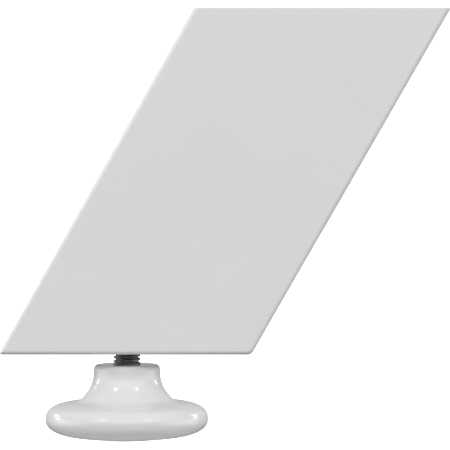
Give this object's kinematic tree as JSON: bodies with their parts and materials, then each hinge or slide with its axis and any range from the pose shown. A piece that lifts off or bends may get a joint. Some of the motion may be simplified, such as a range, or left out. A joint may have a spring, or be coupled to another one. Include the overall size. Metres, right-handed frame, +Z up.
{
  "type": "security gate leg",
  "caption": "Raked sheet-steel leg with a screw-adjusted round levelling foot, the floor end of a retail security gate.",
  "frame": {"origin": "centre of the mounting face on top of the leg, midway between the two mounting holes", "axes": "+Z up, out of the mounting face; the leg leans towards +X from its foot to its top; -Y is the front face and +Y the rear cover"},
  "size_m": [0.1627, 0.06, 0.1567],
  "materials": {
    "white_paint": "satin powder coat",
    "zinc": "bright zinc plated",
    "white_plastic": "moulded, soft gloss",
    "dark_steel": "black oxide",
    "grey_plastic": "moulded, matt"
  },
  "bodies": {
    "leg": {"front_shell": "white_paint", "rear_cover": "white_paint", "top_plate": "white_paint", "foot_plate": "white_paint", "foot_nut": "white_paint", "stiffener_web": "white_paint", "left_cover_rail": "white_paint", "right_cover_rail": "white_paint", "cover_nut_1": "zinc", "cover_nut_2": "zinc", "cover_nut_3": "zinc", "cover_nut_4": "zinc", "cover_screw_1": "zinc", "cover_screw_2": "zinc", "cover_screw_3": "zinc", "cover_screw_4": "zinc"},
    "glide": {"glide_disc": "grey_plastic"},
    "foot": {"foot_body": "white_plastic", "stud": "dark_steel", "load_washer": "zinc", "base_plug": "grey_plastic", "glide_screw": "zinc"}
  },
  "joints": [
    {"name": "foot_height", "type": "slide", "parent": "leg", "child": "glide", "axis": [0, 0, 1], "range_m": [-0.0151, 0.0031]},
    {"name": "foot_turn", "type": "hinge", "parent": "glide", "child": "foot", "pos_m": [-0.0713, 0, -0.1567], "axis": [0, 0, 1], "range_deg": [-3600, 720]}
  ],
  "couplings": [
    {"joint": "foot_height", "follows": "foot_turn", "m_per_rad": 0.00023873}
  ]
}
